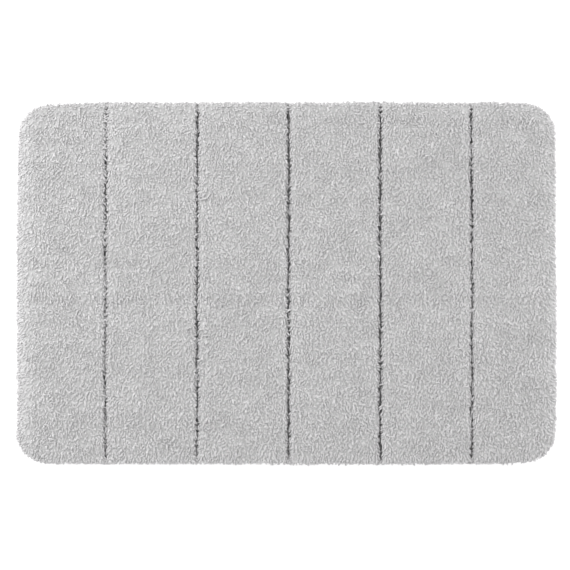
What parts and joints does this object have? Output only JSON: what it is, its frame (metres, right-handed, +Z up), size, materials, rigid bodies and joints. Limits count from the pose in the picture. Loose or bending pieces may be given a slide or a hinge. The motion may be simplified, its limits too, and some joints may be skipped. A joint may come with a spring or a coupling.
{
  "type": "bath mat",
  "caption": "Rectangular tufted bath mat with rounded corners: thick cut pile parted by straight channels, on an anti-slip backing.",
  "frame": {"origin": "middle of the underside, on the floor", "axes": "+X along the long side, +Y along the short side and the channels, +Z up out of the pile"},
  "size_m": [0.9, 0.6, 0.022],
  "materials": {
    "pile": "soft light grey cut-pile microfibre yarn",
    "backing_cloth": "plain-woven grey tape cloth",
    "latex": "matt cured latex",
    "anti_slip_rubber": "off-white soft rubber with fine grip dots",
    "overlock_yarn": "light grey textured polyester overlock yarn",
    "label_ribbon": "off-white satin-woven ribbon, blank"
  },
  "bodies": {
    "root": {"anti_slip_backing": "anti_slip_rubber", "care_label": "label_ribbon", "tuft_lock_coat": "latex", "primary_backing": "backing_cloth", "edge_overlock": "overlock_yarn", "pile_panel_1": "pile", "pile_panel_2": "pile", "pile_panel_3": "pile", "pile_panel_4": "pile", "pile_panel_5": "pile", "pile_panel_6": "pile"}
  },
  "joints": []
}
